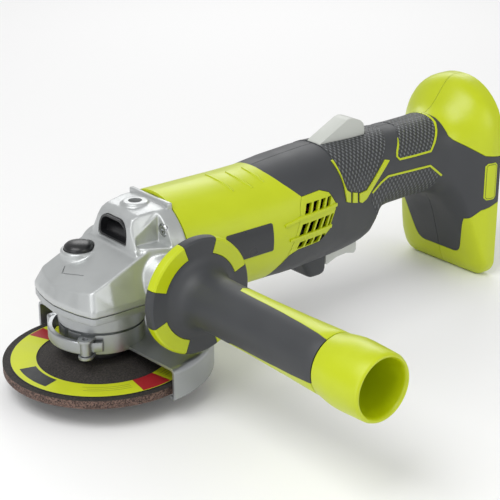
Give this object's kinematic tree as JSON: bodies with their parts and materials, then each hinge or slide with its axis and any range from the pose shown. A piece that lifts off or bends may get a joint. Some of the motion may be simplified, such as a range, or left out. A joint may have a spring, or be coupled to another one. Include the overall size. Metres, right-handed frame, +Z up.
{
  "type": "cordless angle grinder",
  "caption": "Cordless angle grinder with a depressed-centre grinding wheel, swivelling guard with clamp lever, screw-in side handle, lock button, paddle trigger and rear battery collar.",
  "frame": {"origin": "on the spindle axis, in the plane of the printed upper face of the grinding wheel", "axes": "+X along the motor to the battery collar, side handle towards -Y, +Z up along the spindle away from the work"},
  "size_m": [0.3535, 0.2646, 0.1358],
  "materials": {
    "abrasive": "pressed aluminium oxide grit bonded with resin, rough",
    "wheel_print": "printed paper blotter glued to the wheel, matt",
    "black_steel": "blackened steel, satin",
    "ground_steel": "ground steel",
    "spring_steel": "spring steel wire and strip",
    "gear_steel": "hardened steel with an oil film",
    "core_steel": "laminated electrical steel",
    "copper_wire": "enamelled copper wire",
    "commutator_copper": "hard copper segments",
    "fan_nylon": "glass filled nylon",
    "bearing_steel": "shielded ball bearing",
    "zinc_plate": "zinc plated steel",
    "seal_rubber": "nitrile rubber",
    "bronze_bush": "sintered bronze",
    "cast_cap": "die cast aluminium, painted silver grey",
    "screw_steel": "zinc plated steel screws",
    "cast_head": "die cast aluminium, painted silver grey",
    "black_nylon": "glass filled nylon, fine texture",
    "pale_nylon": "moulded nylon, pale grey, fine texture",
    "guard_steel": "pressed steel, painted silver grey",
    "ferrite": "sintered ferrite",
    "carbon": "carbon block",
    "brass_sheet": "pressed brass sheet",
    "lime_nylon": "moulded glass filled nylon, semi gloss",
    "plate_foil": "thin printed foil label, left blank",
    "tinned_brass": "tinned brass blades",
    "lead_jacket": "silicone insulated stranded wire",
    "grip_rubber": "soft overmoulded elastomer, fine texture"
  },
  "bodies": {
    "housing": {"spindle_bearing": "bearing_steel", "bearing_retainer": "zinc_plate", "dust_seal": "seal_rubber", "spindle_top_bush": "bronze_bush", "bearing_cap": "cast_cap", "cap_screws": "screw_steel", "gear_housing": "cast_head", "housing_screws": "screw_steel", "exhaust_insert": "black_nylon", "lock_spring": "spring_steel", "front_armature_bearing": "bearing_steel", "rear_armature_bearing": "bearing_steel", "air_baffle": "fan_nylon", "stator_can": "zinc_plate", "magnets": "ferrite", "end_bell": "black_nylon", "carbon_brushes": "carbon", "brush_holders": "brass_sheet", "brush_springs": "spring_steel", "motor_housing": "lime_nylon", "nameplates": "plate_foil", "handle_screws": "screw_steel", "trigger_spring": "spring_steel", "switch_body": "black_nylon", "lock_off_spring": "spring_steel", "terminal_block": "black_nylon", "terminal_blades": "tinned_brass", "battery_leads": "lead_jacket", "motor_leads": "lead_jacket", "side_handle_core": "lime_nylon", "side_handle_sleeve": "grip_rubber", "side_handle_stud": "screw_steel", "left_handle_shell": "lime_nylon", "left_overmould": "grip_rubber", "right_handle_shell": "lime_nylon", "right_overmould": "grip_rubber"},
    "spindle_set": {"grinding_wheel": "abrasive", "wheel_label": "wheel_print", "inner_flange": "black_steel", "lock_nut": "black_steel", "spindle": "ground_steel", "gear_key": "ground_steel", "gear_clip": "spring_steel", "gear_spacer": "ground_steel", "ring_gear": "gear_steel"},
    "armature": {"pinion": "gear_steel", "armature_shaft": "ground_steel", "rotor_core": "core_steel", "coil_windings": "copper_wire", "commutator": "commutator_copper", "cooling_fan": "fan_nylon"},
    "guard": {"guard_shield": "guard_steel", "guard_band": "guard_steel", "clamp_pin": "screw_steel"},
    "clamp_lever": {"clamp_lever": "black_steel"},
    "lock_button": {"lock_button": "black_nylon"},
    "trigger": {"trigger": "pale_nylon"},
    "lock_off_slider": {"lock_off_slider": "pale_nylon"}
  },
  "joints": [
    {"name": "spindle_spin", "type": "hinge", "parent": "housing", "child": "spindle_set", "pos_m": [0, 0, 0], "axis": [0, 0, 1], "continuous": true},
    {"name": "armature_spin", "type": "hinge", "parent": "housing", "child": "armature", "pos_m": [0, 0, 0.0555], "axis": [1, 0, 0], "continuous": true},
    {"name": "guard_swivel", "type": "hinge", "parent": "housing", "child": "guard", "pos_m": [0, 0, 0.0172], "axis": [0, 0, 1], "range_deg": [-60, 60]},
    {"name": "clamp_lever_open", "type": "hinge", "parent": "guard", "child": "clamp_lever", "pos_m": [-0.0234, -0.01828, 0.0172], "axis": [0, 0, 1], "range_deg": [0, 90]},
    {"name": "lock_button_press", "type": "slide", "parent": "housing", "child": "lock_button", "axis": [0, 0, -1], "range_m": [0, 0.004], "stiffness_N_per_m": 1200, "springref_m": -0.002, "deforming": ["lock_spring"]},
    {"name": "trigger_pull", "type": "slide", "parent": "housing", "child": "trigger", "axis": [0, 0, 1], "range_m": [0, 0.005], "stiffness_N_per_m": 800, "springref_m": -0.005, "deforming": ["trigger_spring"]},
    {"name": "lock_off_slide", "type": "slide", "parent": "housing", "child": "lock_off_slider", "axis": [-1, 0, 0], "range_m": [0, 0.005], "stiffness_N_per_m": 600, "springref_m": -0.003, "deforming": ["lock_off_spring"]}
  ],
  "couplings": [
    {"joint": "armature_spin", "follows": "spindle_spin", "ratio": 3.0833}
  ]
}
